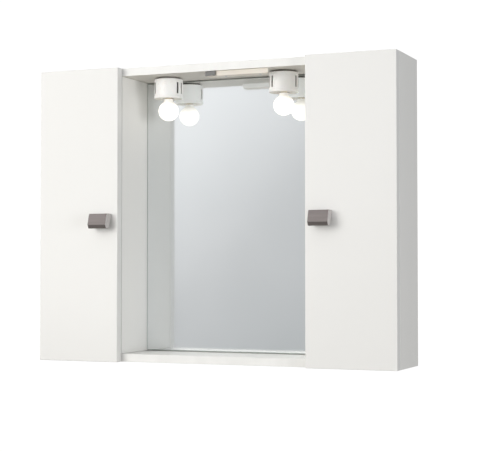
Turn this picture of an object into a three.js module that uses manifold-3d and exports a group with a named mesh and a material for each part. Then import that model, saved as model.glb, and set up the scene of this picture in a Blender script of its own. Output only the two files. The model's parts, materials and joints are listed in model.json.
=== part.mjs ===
// Wall-hung bathroom mirror cabinet: two cupboards with overlay doors, an open middle niche
// with a mirror at its back, two bulb lamps under the top board and a switch box between them.
//
// Millimetres. +Z is up, the wall is the plane y = 0 and the front looks along -Y.
// The origin is the centre of the cabinet's back, on the rear face of the niche's back board.
//
// The left cupboard is drawn once, and the right one is its mirror image.

import * as THREE from "three";
import { mergeVertices } from "three/addons/utils/BufferGeometryUtils.js";
import Module from "manifold-3d";

// ---- driving dimensions ------------------------------------------------------------------

const WIDTH = 770;
const HEIGHT = 600;
const DEPTH = 144; // wall to door front

const BOARD = 16; // carcass boards
const DOOR_THICKNESS = 18;
const DOOR_WIDTH = 182;
const DOOR_GAP = 2; // between the closed door and the carcass
const FIT = 0.3; // clearance where two pieces meet

const BACK_THICKNESS = 3;
const BACK_RECESS = 6; // from the wall to the rear face of a cupboard's back panel
const GROOVE_DEPTH = 6;

const NICHE_BACK_THICKNESS = 8;
const MIRROR_THICKNESS = 4;

const SHELF_HEIGHTS = [-97, 97];
const SHELF_THICKNESS = 16;
const SHELF_SETBACK = 10;

const HINGE_HEIGHTS = { lower: -210, upper: 210 };

const LAMP_SPACING = 256;
const LAMP_SETBACK = 62; // from the wall to the lamp's axis
const LAMP_TURNS = { left: 11, right: 23 }; // degrees that each lamp's front is turned to the right

const SWITCH_BOX = { left: -17, right: 117, depth: 25, height: 10, wall: 1.6, slant: 13 };

// ---- planes that follow from them --------------------------------------------------------

const SIDE = WIDTH / 2;
const TOP = HEIGHT / 2;
const BOARD_INSIDE = TOP - BOARD;
const CARCASS_FRONT = -(DEPTH - DOOR_THICKNESS - DOOR_GAP);
const DOOR_BACK = -(DEPTH - DOOR_THICKNESS);
const DOOR_FRONT = -DEPTH;
const NICHE_SIDE = SIDE - DOOR_WIDTH; // the inner side boards end level with the doors' edges
const BACK_FRONT = -(BACK_RECESS + BACK_THICKNESS);
const MIRROR_FRONT = -(NICHE_BACK_THICKNESS + MIRROR_THICKNESS);

// ---- materials ---------------------------------------------------------------------------

function material(color, roughness, metalness = 0) {
  return new THREE.MeshStandardMaterial({ color, roughness, metalness });
}

const MATERIALS = {
  lacquer: () => material(0xf0efeb, 0.35),
  melamine: () => material(0xebebe8, 0.5),
  hardboard: () => material(0xe6e4de, 0.6),
  mirror: () => material(0xd9e0e4, 0.03, 1),
  satinNickel: () => material(0x9c9894, 0.32, 1),
  steel: () => material(0xb9bbbd, 0.35, 1),
  lampPlastic: () => material(0xf3f1ec, 0.3),
  insulator: () => material(0xe4e1d8, 0.5),
  brass: () => material(0xc9b27a, 0.3, 1),
  opalGlass: () => material(0xffffff, 0.15),
  ivoryPlastic: () => material(0xe4dacb, 0.4),
  darkPlastic: () => material(0x4c4c4d, 0.45),
  leadPlastic: () => material(0xe8e8e6, 0.5),
};

// ---- solid helpers -----------------------------------------------------------------------

const wasm = await Module();
wasm.setup();

function toSolid(geometry) {
  const bare = geometry.clone();
  bare.deleteAttribute("normal");
  bare.deleteAttribute("uv");
  const merged = mergeVertices(bare, 1e-4);
  return new wasm.Manifold(
    new wasm.Mesh({
      numProp: 3,
      vertProperties: merged.attributes.position.array,
      triVerts: new Uint32Array(merged.index.array),
    }),
  );
}

function toGeometry(solid) {
  const mesh = solid.getMesh();
  const geometry = new THREE.BufferGeometry();
  geometry.setAttribute("position", new THREE.BufferAttribute(mesh.vertProperties, 3));
  geometry.setIndex(new THREE.BufferAttribute(mesh.triVerts, 1));
  geometry.computeVertexNormals();
  return geometry;
}

function cut(body, ...tools) {
  return toGeometry(tools.reduce((solid, tool) => solid.subtract(toSolid(tool)), toSolid(body)));
}

function join(...pieces) {
  return toGeometry(pieces.map(toSolid).reduce((solid, piece) => solid.add(piece)));
}

// A box between two corners, given as a pair of values for each of x, y and z.
function block([x0, x1], [y0, y1], [z0, z1]) {
  const box = new THREE.BoxGeometry(x1 - x0, y1 - y0, z1 - z0);
  return box.translate((x0 + x1) / 2, (y0 + y1) / 2, (z0 + z1) / 2);
}

// A round bar along one axis ("x", "y" or "z") between two values on it.
function rod(axis, radius, [from, to], [a, b], segments = 20) {
  const bar = new THREE.CylinderGeometry(radius, radius, to - from, segments);
  const middle = (from + to) / 2;
  if (axis === "x") return bar.rotateZ(-Math.PI / 2).translate(middle, a, b);
  if (axis === "y") return bar.translate(a, middle, b);
  return bar.rotateX(Math.PI / 2).translate(a, b, middle);
}

// A turned body about a vertical axis: its outline is a closed list of [radius, height].
function turned(outline, segments = 36) {
  const points = [...outline, outline[0]].map(([radius, height]) => new THREE.Vector2(radius, height));
  return new THREE.LatheGeometry(points, segments).rotateX(Math.PI / 2);
}

// A flat outline in the plane across x, as [y, z] points, drawn out along x.
function profileAlongX(outline, [x0, x1]) {
  const shape = new THREE.Shape(outline.map(([y, z]) => new THREE.Vector2(y, z)));
  const bar = new THREE.ExtrudeGeometry(shape, { depth: x1 - x0, bevelEnabled: false });
  const axes = new THREE.Matrix4().makeBasis(
    new THREE.Vector3(0, 1, 0),
    new THREE.Vector3(0, 0, 1),
    new THREE.Vector3(1, 0, 0),
  );
  return bar.applyMatrix4(axes).translate(x0, 0, 0);
}

// A round lead that follows straight runs with rounded corners.
function lead(corners, radius, bend) {
  const points = corners.map((corner) => new THREE.Vector3(...corner));
  const path = new THREE.CurvePath();
  let from = points[0];
  for (let i = 1; i < points.length - 1; i += 1) {
    const into = points[i].clone().add(points[i - 1].clone().sub(points[i]).setLength(bend));
    const out = points[i].clone().add(points[i + 1].clone().sub(points[i]).setLength(bend));
    path.add(new THREE.LineCurve3(from, into));
    path.add(new THREE.QuadraticBezierCurve3(into, points[i], out));
    from = out;
  }
  path.add(new THREE.LineCurve3(from, points.at(-1)));
  const section = new THREE.Shape().absarc(0, 0, radius, 0, 2 * Math.PI);
  const steps = Math.min(80, Math.round(path.getLength() / (2.2 * radius)));
  return new THREE.ExtrudeGeometry(section, { extrudePath: path, steps, curveSegments: 4 });
}

function mesh(name, geometry, finish) {
  const piece = new THREE.Mesh(geometry, MATERIALS[finish]());
  piece.name = name;
  return piece;
}

// ---- carcass -----------------------------------------------------------------------------

// The groove that a cupboard's back panel stands in runs round its four boards.
const GROOVE_Y = [BACK_FRONT - FIT, -BACK_RECESS + FIT];
const GROOVE_LEFT = -(SIDE - BOARD + GROOVE_DEPTH);
const GROOVE_RIGHT = -(NICHE_SIDE + BOARD - GROOVE_DEPTH);
const GROOVE_TOP = BOARD_INSIDE + GROOVE_DEPTH;

function cupboardGroove(x = [GROOVE_LEFT, GROOVE_RIGHT]) {
  return block(x, GROOVE_Y, [-GROOVE_TOP, GROOVE_TOP]);
}

function outerSide() {
  const board = block([-SIDE, -SIDE + BOARD], [CARCASS_FRONT, 0], [-TOP, TOP]);
  return cut(board, cupboardGroove());
}

function innerSide() {
  const height = BOARD_INSIDE - FIT;
  const board = block([-NICHE_SIDE - BOARD, -NICHE_SIDE], [CARCASS_FRONT, 0], [-height, height]);
  return cut(board, cupboardGroove());
}

function acrossBoard(z) {
  const half = SIDE - BOARD - FIT;
  const board = block([-half, half], [CARCASS_FRONT, 0], z);
  return cut(board, cupboardGroove(), cupboardGroove([-GROOVE_RIGHT, -GROOVE_LEFT]));
}

function topBoard() {
  return cut(acrossBoard([BOARD_INSIDE, TOP]), ...leadChannels());
}

function bottomBoard() {
  return acrossBoard([-TOP, -BOARD_INSIDE]);
}

function cupboardBack() {
  const panel = block(
    [GROOVE_LEFT + FIT, GROOVE_RIGHT - FIT],
    [BACK_FRONT, -BACK_RECESS],
    [-GROOVE_TOP + FIT, GROOVE_TOP - FIT],
  );
  const notch = block(
    [-SIDE, HANGER_RIGHT + FIT],
    [BACK_FRONT - 1, 0],
    [HANGER_BOTTOM - FIT, TOP],
  );
  return cut(panel, notch);
}

function nicheBack() {
  const half = NICHE_SIDE - FIT;
  const height = BOARD_INSIDE - FIT;
  return block([-half, half], [-NICHE_BACK_THICKNESS + FIT, 0], [-height, height]);
}

function mirrorGlass() {
  const half = NICHE_SIDE - FIT;
  const edge = 2; // the glass stands this far clear of the boards above and below
  const height = BOARD_INSIDE - edge;
  return block([-half, half], [MIRROR_FRONT, -NICHE_BACK_THICKNESS], [-height, height]);
}

function shelf(z) {
  return block(
    [-SIDE + BOARD + FIT, -NICHE_SIDE - BOARD - FIT],
    [CARCASS_FRONT + SHELF_SETBACK, BACK_FRONT - FIT],
    [z - SHELF_THICKNESS / 2, z + SHELF_THICKNESS / 2],
  );
}

// ---- wall hangers, in the upper outer corner of each cupboard ------------------------------

const HANGER_LEFT = -SIDE + BOARD + FIT;
const HANGER_RIGHT = HANGER_LEFT + 36;
const HANGER_BOTTOM = 236;
const HANGER_TOP = 280;
const HANGER_FRONT = -30;
const HANGER_REAR = -5;
const HOOK_X = [HANGER_LEFT + 10, HANGER_LEFT + 26];
const HOOK_Z = [255, 258];
const HOOK_LIP_BOTTOM = 246;
const HOOK_LIP_Y = [-2.4, -0.4];

function hangerHousing() {
  const body = block([HANGER_LEFT, HANGER_RIGHT], [HANGER_FRONT, HANGER_REAR], [HANGER_BOTTOM, HANGER_TOP]);
  const room = block(
    [HOOK_X[0] - 1, HOOK_X[1] + 1],
    [HANGER_FRONT + 4, HANGER_REAR + 1],
    [HOOK_Z[0] - 5, HOOK_Z[1] + 12],
  );
  return cut(body, room);
}

function hangerHook() {
  const tongue = block(HOOK_X, [HANGER_FRONT + 5, HOOK_LIP_Y[1]], HOOK_Z);
  const lip = block(HOOK_X, HOOK_LIP_Y, [HOOK_LIP_BOTTOM, HOOK_Z[1]]);
  const clampPlate = block(HOOK_X, [HANGER_FRONT + 5, HANGER_FRONT + 8], [HOOK_Z[0], HOOK_Z[1] + 9]);
  return join(tongue, lip, clampPlate);
}

// ---- concealed door hinges -----------------------------------------------------------------
// Seen from above, a hinge is drawn from the door's outer front corner: u runs in from the
// cabinet's side and v runs back from the door's front.

const ARM_PIVOT = [31, 23];
const CUP_PIVOT = [11, 13];
const LINK_BENDS = [CUP_PIVOT, [15.2, 8.2], [19.5, 8.6], [25.5, 13.5], ARM_PIVOT];
const LINK_THICKNESS = 2;
const LINK_HALF_WIDTH = 5.4;
const KNUCKLE_RADIUS = 2.7;
const PIN_RADIUS = 1.5;
const PIN_HOLE_RADIUS = 1.85;

const CUP_CENTRE = 22.5;
const CUP_RADIUS = 17.2;
const CUP_BORE = { radius: 17.5, floor: 5 };
const CUP_FLOOR = 5.3;
const CUP_ROOM_FLOOR = 6.1;
const CUP_ROOM_RADIUS = 15.6;
const CUP_FLANGE = DOOR_THICKNESS + 0.8;
const WING_HALF_HEIGHT = 29;

function fromHinge(geometry, z) {
  return geometry.translate(-SIDE, DOOR_FRONT, z);
}

function hingeCup(z) {
  const cup = rod("y", CUP_RADIUS, [CUP_FLOOR, CUP_FLANGE], [CUP_CENTRE, 0], 28);
  const wings = block([14, 32], [DOOR_THICKNESS + 0.05, CUP_FLANGE], [-WING_HALF_HEIGHT, WING_HALF_HEIGHT]);
  const room = rod("y", CUP_ROOM_RADIUS, [CUP_ROOM_FLOOR, CUP_FLANGE + 1], [CUP_CENTRE, 0], 28);
  const pinHole = rod("z", PIN_HOLE_RADIUS, [-14, 14], CUP_PIVOT, 12);
  return fromHinge(cut(join(cup, wings), room, pinHole), z);
}

// A cranked strip through the link's bends, with a rolled eye at each end.
function hingeLink(z) {
  const width = [-LINK_HALF_WIDTH, LINK_HALF_WIDTH];
  const strips = [];
  for (let i = 1; i < LINK_BENDS.length; i += 1) {
    const [u0, v0] = LINK_BENDS[i - 1];
    const [u1, v1] = LINK_BENDS[i];
    const length = Math.hypot(u1 - u0, v1 - v0);
    const strip = block([0, length], [-LINK_THICKNESS / 2, LINK_THICKNESS / 2], width);
    strips.push(strip.rotateZ(Math.atan2(v1 - v0, u1 - u0)).translate(u0, v0, 0));
    strips.push(rod("z", LINK_THICKNESS / 2, width, [u1, v1], 8));
  }
  const eyes = [CUP_PIVOT, ARM_PIVOT].map((pivot) => rod("z", KNUCKLE_RADIUS, width, pivot, 16));
  const holes = [CUP_PIVOT, ARM_PIVOT].map((pivot) => rod("z", PIN_HOLE_RADIUS, [-7, 7], pivot, 12));
  return fromHinge(cut(join(...strips, ...eyes), ...holes), z);
}

const ARM = { left: 19.2, right: 28, front: 26, rear: 82, halfWidth: 8.5, sheet: 1.6 };
const EAR_RADIUS = 3.2;

// A channel of sheet steel over the mounting plate, with two ears for the link's pin.
function hingeArm(z) {
  const outside = [-ARM.halfWidth, ARM.halfWidth];
  const inside = [-ARM.halfWidth + ARM.sheet, ARM.halfWidth - ARM.sheet];
  const channel = block([ARM.left, ARM.right], [ARM.front, ARM.rear], outside);
  const nose = block([ARM_PIVOT[0] - 6, ARM_PIVOT[0] + EAR_RADIUS], [ARM_PIVOT[1], ARM.front + 8], outside);
  const ears = rod("z", EAR_RADIUS, outside, ARM_PIVOT, 16);
  const room = block([ARM.left - 1, ARM.right - ARM.sheet], [ARM.front - 1, ARM.rear + 1], inside);
  const linkRoom = block([ARM.left - 1, 40], [ARM_PIVOT[1] - 8, ARM.front + 5], inside);
  const pinHole = rod("z", PIN_HOLE_RADIUS, [-12, 12], ARM_PIVOT, 12);
  return fromHinge(cut(join(channel, nose, ears), room, linkRoom, pinHole), z);
}

function mountingPlate(z) {
  const foot = [BOARD + FIT, ARM.left - FIT];
  const spine = block(foot, [42, 80], [-6, 6]);
  const wings = block(foot, [50, 64], [-24, 24]);
  return fromHinge(join(spine, wings), z);
}

function armPin(z) {
  return fromHinge(rod("z", PIN_RADIUS, [-9.2, 9.2], ARM_PIVOT, 12), z);
}

function cupPin(z) {
  return fromHinge(rod("z", PIN_RADIUS, [-11.6, 11.6], CUP_PIVOT, 12), z);
}

// ---- door and handle -----------------------------------------------------------------------

function door() {
  const slab = block([-SIDE, -NICHE_SIDE], [DOOR_FRONT, DOOR_BACK], [-TOP, TOP]);
  const bores = Object.values(HINGE_HEIGHTS).map((z) =>
    fromHinge(rod("y", CUP_BORE.radius, [CUP_BORE.floor, DOOR_THICKNESS + 1], [CUP_CENTRE, 0], 28), z),
  );
  return cut(slab, ...bores);
}

const HANDLE = { centre: -(NICHE_SIDE + 34.2), halfWidth: 20.2, top: 1, wall: 2 };
// The pull's side outline, as [distance in front of the door, height below its top].
const HANDLE_OUTSIDE = [
  [0, 0], [18.5, 0], [20.8, -2], [26.5, -22.5], [22.5, -30], [10, -30], [0, -8],
];
const HANDLE_INSIDE = [[-1, -2], [17.6, -2], [18.9, -3.3], [24.3, -22.2], [19.6, -31], [-1, -31]];
const BOSS_OFFSET = 12;

function handleOutline(points) {
  return points.map(([out, down]) => [DOOR_FRONT - FIT - out, HANDLE.top + down]);
}

// A hooded pull, open below and behind, with two screw bosses under its hood.
function handle() {
  const { centre, halfWidth, wall, top } = HANDLE;
  const hood = profileAlongX(handleOutline(HANDLE_OUTSIDE), [centre - halfWidth, centre + halfWidth]);
  const hollow = profileAlongX(
    handleOutline(HANDLE_INSIDE),
    [centre - halfWidth + wall, centre + halfWidth - wall],
  );
  const bosses = [-BOSS_OFFSET, BOSS_OFFSET].map((offset) =>
    rod("y", 3, [DOOR_FRONT - FIT - 14, DOOR_FRONT - FIT], [centre + offset, top - 4.5], 12),
  );
  return join(cut(hood, hollow), ...bosses);
}

// ---- one cupboard --------------------------------------------------------------------------

function cupboard(hand) {
  const side = new THREE.Group();
  side.add(
    mesh(`${hand}_outer_side`, outerSide(), "melamine"),
    mesh(`${hand}_inner_side`, innerSide(), "melamine"),
    mesh(`${hand}_back_panel`, cupboardBack(), "hardboard"),
    mesh(`${hand}_lower_shelf`, shelf(SHELF_HEIGHTS[0]), "melamine"),
    mesh(`${hand}_upper_shelf`, shelf(SHELF_HEIGHTS[1]), "melamine"),
    mesh(`${hand}_hanger_housing`, hangerHousing(), "lampPlastic"),
    mesh(`${hand}_hanger_hook`, hangerHook(), "steel"),
    mesh(`${hand}_door`, door(), "lacquer"),
    mesh(`${hand}_handle`, handle(), "satinNickel"),
  );
  for (const [level, z] of Object.entries(HINGE_HEIGHTS)) {
    const hinge = `${hand}_${level}_hinge`;
    side.add(
      mesh(`${hinge}_plate`, mountingPlate(z), "steel"),
      mesh(`${hinge}_arm`, hingeArm(z), "steel"),
      mesh(`${hinge}_arm_pin`, armPin(z), "steel"),
      mesh(`${hinge}_link`, hingeLink(z), "steel"),
      mesh(`${hinge}_cup_pin`, cupPin(z), "steel"),
      mesh(`${hinge}_cup`, hingeCup(z), "steel"),
    );
  }
  if (hand === "right") side.scale.x = -1;
  return side;
}

// ---- lamps -----------------------------------------------------------------------------------
// Heights are below the underside of the top board.

const LAMP = { radius: 29.2, lipRadius: 30, wall: 2, gap: 3.4, height: 43, lipHeight: 5 };
const SLOT = { top: 11, bottom: 34, width: 4.2, angles: [-78.5, -54.5, 54.5, 78.5] };
const SOCKET = { radius: 13.5, roomRadius: 8.2, top: 7, bottom: 40 };
const BULB = { radius: 20.8, centre: 68, neckRadius: 8.6, neckTop: 43.5, capRadius: 7, capTop: 20 };
const LEAD_RADIUS = 2.2;
const LEAD_HOLE_RADIUS = 4;

function lampHousing() {
  const { radius, lipRadius, wall, gap, height, lipHeight } = LAMP;
  const shell = turned([
    [radius - wall, -gap - wall],
    [radius - wall, -height + wall],
    [SOCKET.radius + 1, -height + wall],
    [SOCKET.radius + 1, -height],
    [lipRadius - 0.8, -height],
    [lipRadius, -height + 0.8],
    [lipRadius, -height + lipHeight - 1],
    [radius, -height + lipHeight],
    [radius, -gap - 0.8],
    [radius - 0.8, -gap],
    [LEAD_HOLE_RADIUS + 13, -gap],
    [LEAD_HOLE_RADIUS + 13, -gap - wall],
  ]);
  const slots = SLOT.angles.map((degrees) => {
    const slot = block(
      [-SLOT.width / 2, SLOT.width / 2],
      [-radius - 2, -radius + wall + 2],
      [-SLOT.bottom, -SLOT.top],
    );
    return slot.rotateZ(THREE.MathUtils.degToRad(degrees));
  });
  return cut(shell, ...slots);
}

// The spacer between the board and the housing, which leaves the shadow gap.
function lampBase() {
  const disc = rod("z", 24, [-LAMP.gap + FIT, -FIT], [0, 0], 28);
  const plug = rod("z", LEAD_HOLE_RADIUS + 12.4, [-SOCKET.top + FIT, -LAMP.gap + 1], [0, 0], 28);
  const leadHole = rod("z", LEAD_HOLE_RADIUS, [-10, 1], [0, 0], 16);
  return cut(join(disc, plug), leadHole);
}

function bulbSocket() {
  const body = rod("z", SOCKET.radius, [-SOCKET.bottom, -SOCKET.top], [0, 0], 28);
  const room = rod("z", SOCKET.roomRadius, [-SOCKET.bottom - 1, -BULB.capTop + 4], [0, 0], 24);
  return cut(body, room);
}

function bulbCap() {
  const shell = rod("z", BULB.capRadius, [-BULB.neckTop + FIT, -BULB.capTop - 3], [0, 0], 24);
  const contact = rod("z", 3, [-BULB.capTop - 4, -BULB.capTop], [0, 0], 16);
  return join(shell, contact);
}

function bulbGlobe() {
  const globe = new THREE.SphereGeometry(BULB.radius, 24, 14).rotateX(Math.PI / 2);
  const neck = rod("z", BULB.neckRadius, [-BULB.centre + 8, -BULB.neckTop], [0, 0], 24);
  return join(globe.translate(0, 0, -BULB.centre), neck);
}

function lamp(hand) {
  const group = new THREE.Group();
  group.add(
    mesh(`${hand}_lamp_base`, lampBase(), "lampPlastic"),
    mesh(`${hand}_lamp_housing`, lampHousing(), "lampPlastic"),
    mesh(`${hand}_bulb_socket`, bulbSocket(), "insulator"),
    mesh(`${hand}_bulb_cap`, bulbCap(), "brass"),
    mesh(`${hand}_bulb_globe`, bulbGlobe(), "opalGlass"),
  );
  const x = hand === "left" ? -LAMP_SPACING / 2 : LAMP_SPACING / 2;
  group.position.set(x, -LAMP_SETBACK, BOARD_INSIDE);
  group.rotation.z = THREE.MathUtils.degToRad(LAMP_TURNS[hand]);
  return group;
}

// ---- switch box and lamp leads -----------------------------------------------------------------

const BOX_FRONT = CARCASS_FRONT + 4;
const BOX_BACK = BOX_FRONT + SWITCH_BOX.depth;
const BOX_BOTTOM = BOARD_INSIDE - SWITCH_BOX.height;
const ROCKER = { width: 22.6, bodyWidth: 18, play: 0.9, tilt: 5 };
const ROCKER_AXIS = [SWITCH_BOX.left + 0.4 + ROCKER.width / 2, BOX_FRONT + 4];

// The plan of the box, set in from its outside by a wall. Its right end slants back past the lamp.
function boxPlan(wall) {
  const { left, right, depth, slant } = SWITCH_BOX;
  const along = slant / depth;
  const slantWall = wall * Math.hypot(1, along);
  return new THREE.Shape([
    new THREE.Vector2(left + wall, BOX_FRONT + wall),
    new THREE.Vector2(right - slantWall - along * wall, BOX_FRONT + wall),
    new THREE.Vector2(right - slantWall - along * (depth - wall), BOX_BACK - wall),
    new THREE.Vector2(left + wall, BOX_BACK - wall),
  ]);
}

// A flat outline in plan, drawn up from one height to another.
function raised(shape, [z0, z1]) {
  return new THREE.ExtrudeGeometry(shape, { depth: z1 - z0, bevelEnabled: false }).translate(0, 0, z0);
}

// A shallow tray screwed up against the board, with a window for the rocker in its front.
function switchBox() {
  const { wall } = SWITCH_BOX;
  const [axisX] = ROCKER_AXIS;
  const halfWindow = ROCKER.bodyWidth / 2 + ROCKER.play;
  const floor = BOX_BOTTOM + wall;
  const tray = raised(boxPlan(0), [BOX_BOTTOM, BOARD_INSIDE - FIT]);
  const room = raised(boxPlan(wall), [floor, BOARD_INSIDE]);
  const window = block(
    [axisX - halfWindow, axisX + halfWindow],
    [BOX_FRONT - 1, BOX_FRONT + wall + 1],
    [floor, BOARD_INSIDE],
  );
  const pivotHole = rod("z", 1.6, [BOX_BOTTOM - 1, floor + 1], ROCKER_AXIS, 12);
  return cut(tray, room, window, pivotHole);
}

// The rocker's cap covers the window, and its face is two flats that meet over the axis.
// It rests with its left end pressed in.
function rocker() {
  const half = ROCKER.width / 2;
  const halfBody = ROCKER.bodyWidth / 2;
  const capBack = -5.3;
  const face = new THREE.Shape([
    new THREE.Vector2(-half, -7),
    new THREE.Vector2(0, -6.2),
    new THREE.Vector2(half, -7),
    new THREE.Vector2(half, capBack),
    new THREE.Vector2(-half, capBack),
  ]);
  const cap = raised(face, [BOX_BOTTOM + FIT, BOARD_INSIDE - 2 * FIT]);
  const bodyBottom = BOX_BOTTOM + SWITCH_BOX.wall + 0.4;
  const body = block([-halfBody, halfBody], [capBack - 0.5, 3], [bodyBottom, BOARD_INSIDE - 1]);
  const stub = rod("z", 1.3, [BOX_BOTTOM + 0.4, bodyBottom + 1], [0, 0], 12);
  const tilted = join(cap, body, stub).rotateZ(-THREE.MathUtils.degToRad(ROCKER.tilt));
  return tilted.translate(...ROCKER_AXIS, 0);
}

const LEAD_Z = TOP - 3.8;
const CHANNEL = { halfWidth: 4, floor: TOP - 8 };
const LEAD_ENTRIES = { left: 24, right: 56 }; // where each lead drops into the switch box
const ENTRY_Y = BOX_FRONT + 18;

function lampX(hand) {
  return hand === "left" ? -LAMP_SPACING / 2 : LAMP_SPACING / 2;
}

// The holes and the L-shaped channels that take the lamp leads over the top board.
function leadChannels() {
  const { halfWidth, floor } = CHANNEL;
  const depth = [floor, TOP + 1];
  return Object.entries(LEAD_ENTRIES).flatMap(([hand, entryX]) => {
    const ends = [lampX(hand), entryX].sort((a, b) => a - b);
    const across = [-LAMP_SETBACK - halfWidth, -LAMP_SETBACK + halfWidth];
    return [
      block([ends[0] - halfWidth, ends[1] + halfWidth], across, depth),
      block([entryX - halfWidth, entryX + halfWidth], [ENTRY_Y - halfWidth, -LAMP_SETBACK], depth),
      rod("z", LEAD_HOLE_RADIUS, [BOARD_INSIDE - 1, TOP], [lampX(hand), -LAMP_SETBACK], 16),
      rod("z", LEAD_HOLE_RADIUS, [BOARD_INSIDE - 1, TOP], [entryX, ENTRY_Y], 16),
    ];
  });
}

function lampLead(hand) {
  const entryX = LEAD_ENTRIES[hand];
  const route = [
    [lampX(hand), -LAMP_SETBACK, BOARD_INSIDE - SOCKET.top + FIT],
    [lampX(hand), -LAMP_SETBACK, LEAD_Z],
    [entryX, -LAMP_SETBACK, LEAD_Z],
    [entryX, ENTRY_Y, LEAD_Z],
    [entryX, ENTRY_Y, BOX_BOTTOM + 4],
  ];
  return lead(route, LEAD_RADIUS, 5);
}

// ---- the cabinet ---------------------------------------------------------------------------------

const cabinet = new THREE.Group();
cabinet.add(
  cupboard("left"),
  cupboard("right"),
  mesh("top_board", topBoard(), "melamine"),
  mesh("bottom_board", bottomBoard(), "melamine"),
  mesh("niche_back", nicheBack(), "hardboard"),
  mesh("mirror_glass", mirrorGlass(), "mirror"),
  lamp("left"),
  lamp("right"),
  mesh("switch_box", switchBox(), "ivoryPlastic"),
  mesh("switch_rocker", rocker(), "darkPlastic"),
  mesh("left_lamp_lead", lampLead("left"), "leadPlastic"),
  mesh("right_lamp_lead", lampLead("right"), "leadPlastic"),
);

export default cabinet;
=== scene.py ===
"""Looks of a wall-hung bathroom mirror cabinet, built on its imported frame.

Two white cupboards with lacquered doors stand either side of an open niche. The niche has a
mirror at its back, and under its top board hang two lit globe lamps and a flat switch box.
Everything is in metres in the frame of the CAD model: +Z up, the wall at y = 0, front along -Y.
"""

import json
import math

import bmesh
import bpy
from mathutils import Matrix, Vector

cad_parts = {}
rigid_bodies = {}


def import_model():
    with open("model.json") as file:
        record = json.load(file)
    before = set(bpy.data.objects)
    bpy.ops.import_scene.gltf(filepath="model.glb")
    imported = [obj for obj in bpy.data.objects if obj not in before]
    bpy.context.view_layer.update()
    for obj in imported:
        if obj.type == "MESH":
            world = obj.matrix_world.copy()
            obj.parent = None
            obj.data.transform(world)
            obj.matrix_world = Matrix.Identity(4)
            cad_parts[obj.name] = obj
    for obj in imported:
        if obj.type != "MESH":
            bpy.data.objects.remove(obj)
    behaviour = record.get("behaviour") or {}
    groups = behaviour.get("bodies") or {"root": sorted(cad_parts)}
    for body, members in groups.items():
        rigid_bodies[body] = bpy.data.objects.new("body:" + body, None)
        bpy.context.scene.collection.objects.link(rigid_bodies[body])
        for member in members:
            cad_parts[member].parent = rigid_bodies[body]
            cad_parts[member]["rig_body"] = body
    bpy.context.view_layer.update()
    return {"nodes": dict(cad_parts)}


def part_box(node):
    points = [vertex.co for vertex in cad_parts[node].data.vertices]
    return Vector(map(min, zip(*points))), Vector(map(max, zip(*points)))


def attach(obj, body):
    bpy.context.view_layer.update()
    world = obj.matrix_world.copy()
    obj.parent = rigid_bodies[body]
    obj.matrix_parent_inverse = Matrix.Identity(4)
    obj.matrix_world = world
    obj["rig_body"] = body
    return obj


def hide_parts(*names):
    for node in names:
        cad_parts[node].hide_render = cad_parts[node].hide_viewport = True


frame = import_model()
MM = 0.001
BACK, FRONT, UP, DOWN = (0, 1, 0), (0, -1, 0), (0, 0, 1), (0, 0, -1)
HANDS = {"left": -1, "right": 1}
LEVELS = ("lower", "upper")


# ---- camera, light and stage ---------------------------------------------------------------------

CAMERA_PLACE = Vector((1.0695, -2.4863, -0.1068))
CAMERA_YAW = 0.3964  # radians to the left of the wall's normal
CAMERA_PITCH = 0.03125
CAMERA_LENS = 94.05
FLOOR_HEIGHT = -1.25
KEY_DIRECTION = Vector((-0.45, -0.86, 0.19))  # from the cabinet towards the main light
FILL_DIRECTION = Vector((0.89, -0.45, -0.05))
# The studio dome's colour from lower right (0) to upper left (1).
DOME = (
    (0.30, (0.28, 0.285, 0.295)),
    (0.70, (0.53, 0.54, 0.545)),
    (0.78, (0.585, 0.59, 0.595)),
    (0.87, (0.91, 0.915, 0.92)),
    (0.95, (1.05, 1.05, 1.05)),
)
DOME_AXIS = Vector((-0.69, 0.0, 0.72))  # towards its bright side
DOME_SHARE = 0.72  # of the dome's strength, as light on matt surfaces
BACKDROP = 1.05  # strength of the plain white that the camera sees


def make_camera():
    """A camera in front of the cabinet, to its right and a little below its middle."""
    data = bpy.data.cameras.new("camera")
    data.lens = CAMERA_LENS
    data.sensor_width = 36
    data.clip_start = 0.05
    camera = bpy.data.objects.new("camera", data)
    forward = Vector((
        -math.sin(CAMERA_YAW) * math.cos(CAMERA_PITCH),
        math.cos(CAMERA_YAW) * math.cos(CAMERA_PITCH),
        math.sin(CAMERA_PITCH),
    ))
    camera.location = CAMERA_PLACE
    camera.rotation_mode = "QUATERNION"
    camera.rotation_quaternion = forward.to_track_quat("-Z", "Y")
    bpy.context.scene.collection.objects.link(camera)
    bpy.context.scene.camera = camera


def facing_cabinet(item, direction, distance, axis):
    """Puts a light at a distance from the cabinet, with one of its own axes turned towards it."""
    item.location = direction.normalized() * distance
    item.rotation_mode = "QUATERNION"
    item.rotation_quaternion = (-direction).to_track_quat(axis, "Y")
    item.visible_camera = False
    bpy.context.scene.collection.objects.link(item)


def area_light(name, direction, distance, size, power, color):
    data = bpy.data.lights.new(name, "AREA")
    data.shape = "DISK"
    data.size = size
    data.energy = power
    data.color = color
    facing_cabinet(bpy.data.objects.new(name, data), direction, distance, "-Z")


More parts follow.
